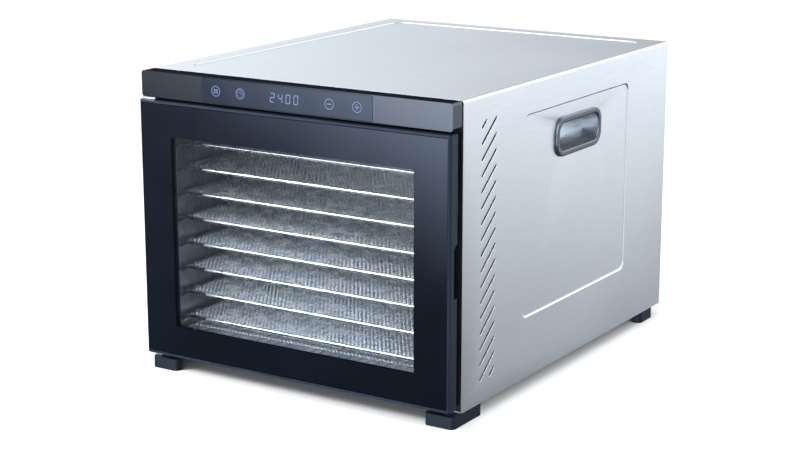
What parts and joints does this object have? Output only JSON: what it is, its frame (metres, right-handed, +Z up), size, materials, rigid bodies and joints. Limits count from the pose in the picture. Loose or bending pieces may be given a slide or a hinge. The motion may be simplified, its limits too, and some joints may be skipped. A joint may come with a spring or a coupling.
{
  "type": "food dehydrator",
  "caption": "Countertop food dehydrator: steel cabinet with side grips and vent slots, a side-hinged glass door, sliding wire trays and a rear fan heater.",
  "frame": {"origin": "centre of the bounding box in plan, at the height of the surface the feet stand on", "axes": "+X to the right seen from the front, +Y from the door to the back, +Z up"},
  "size_m": [0.3488, 0.45, 0.296],
  "materials": {
    "brushed_steel": "fine satin stainless sheet",
    "zinc_steel": "zinc plated sheet",
    "chamber_steel": "dark coated sheet",
    "black_plastic": "semi-gloss black",
    "foot_plastic": "matte black",
    "grey_plastic": "satin grey",
    "fascia_plastic": "fine textured dark blue-grey",
    "panel_glass": "gloss black touch panel",
    "window_glass": "tempered door glass",
    "display_led": "blue digits",
    "circuit_board": "green laminate",
    "gasket_rubber": "soft black",
    "ceramic": "white ceramic",
    "heater_sheath": "heat-tinted metal sheath",
    "motor_casting": "bare casting",
    "tray_wire": "bright stainless wire"
  },
  "bodies": {
    "cabinet": {"outer_wrap": "brushed_steel", "base_pan": "zinc_steel", "rear_panel": "zinc_steel", "rear_grille": "black_plastic", "cable_gland": "black_plastic", "mouth_frame": "black_plastic", "chamber_wall_right": "chamber_steel", "chamber_wall_left": "chamber_steel", "chamber_ceiling": "chamber_steel", "chamber_floor": "chamber_steel", "air_baffle": "chamber_steel", "fan_wall": "zinc_steel", "heater_coil": "heater_sheath", "heater_post_right": "ceramic", "heater_post_left": "ceramic", "thermal_cutout": "ceramic", "temperature_probe": "zinc_steel", "motor_bracket": "zinc_steel", "fan_motor": "motor_casting", "power_board": "circuit_board", "control_harness": "gasket_rubber", "supply_harness": "gasket_rubber", "fascia": "fascia_plastic", "display_panel": "panel_glass", "display_module": "display_led", "control_board": "circuit_board", "magnet_catch": "black_plastic", "hinge_plate_top": "zinc_steel", "hinge_plate_bottom": "zinc_steel", "touch_spring_1": "zinc_steel", "touch_spring_2": "zinc_steel", "touch_spring_3": "zinc_steel", "touch_spring_4": "zinc_steel", "handle_cup_right": "grey_plastic", "handle_cup_left": "grey_plastic", "foot_front_right": "foot_plastic", "foot_front_left": "foot_plastic", "foot_rear_right": "foot_plastic", "foot_rear_left": "foot_plastic"},
    "door": {"door_frame": "black_plastic", "door_glass": "window_glass", "door_retainer": "chamber_steel", "door_gasket": "gasket_rubber", "door_magnet": "motor_casting", "hinge_pin_top": "zinc_steel", "hinge_pin_bottom": "zinc_steel"},
    "fan": {"motor_shaft": "zinc_steel", "fan_impeller": "zinc_steel", "impeller_nut": "zinc_steel"},
    "tray_1": {"tray_1": "tray_wire"},
    "tray_2": {"tray_2": "tray_wire"},
    "tray_3": {"tray_3": "tray_wire"},
    "tray_4": {"tray_4": "tray_wire"},
    "tray_5": {"tray_5": "tray_wire"},
    "tray_6": {"tray_6": "tray_wire"},
    "tray_7": {"tray_7": "tray_wire"},
    "tray_8": {"tray_8": "tray_wire"},
    "drip_tray": {"drip_tray": "brushed_steel", "drip_grid": "tray_wire"}
  },
  "joints": [
    {"name": "door_hinge", "type": "hinge", "parent": "cabinet", "child": "door", "pos_m": [-0.165, -0.2165, 0.143], "axis": [0, 0, -1], "range_deg": [0, 150]},
    {"name": "fan_spin", "type": "hinge", "parent": "cabinet", "child": "fan", "pos_m": [0, 0.1312, 0.14325], "axis": [0, 1, 0], "continuous": true},
    {"name": "tray_1_slide", "type": "slide", "parent": "cabinet", "child": "tray_1", "axis": [0, -1, 0], "range_m": [0, 0.006]},
    {"name": "tray_2_slide", "type": "slide", "parent": "cabinet", "child": "tray_2", "axis": [0, -1, 0], "range_m": [0, 0.006]},
    {"name": "tray_3_slide", "type": "slide", "parent": "cabinet", "child": "tray_3", "axis": [0, -1, 0], "range_m": [0, 0.006]},
    {"name": "tray_4_slide", "type": "slide", "parent": "cabinet", "child": "tray_4", "axis": [0, -1, 0], "range_m": [0, 0.006]},
    {"name": "tray_5_slide", "type": "slide", "parent": "cabinet", "child": "tray_5", "axis": [0, -1, 0], "range_m": [0, 0.006]},
    {"name": "tray_6_slide", "type": "slide", "parent": "cabinet", "child": "tray_6", "axis": [0, -1, 0], "range_m": [0, 0.006]},
    {"name": "tray_7_slide", "type": "slide", "parent": "cabinet", "child": "tray_7", "axis": [0, -1, 0], "range_m": [0, 0.006]},
    {"name": "tray_8_slide", "type": "slide", "parent": "cabinet", "child": "tray_8", "axis": [0, -1, 0], "range_m": [0, 0.006]},
    {"name": "drip_tray_slide", "type": "slide", "parent": "cabinet", "child": "drip_tray", "axis": [0, -1, 0], "range_m": [0, 0.006]}
  ]
}
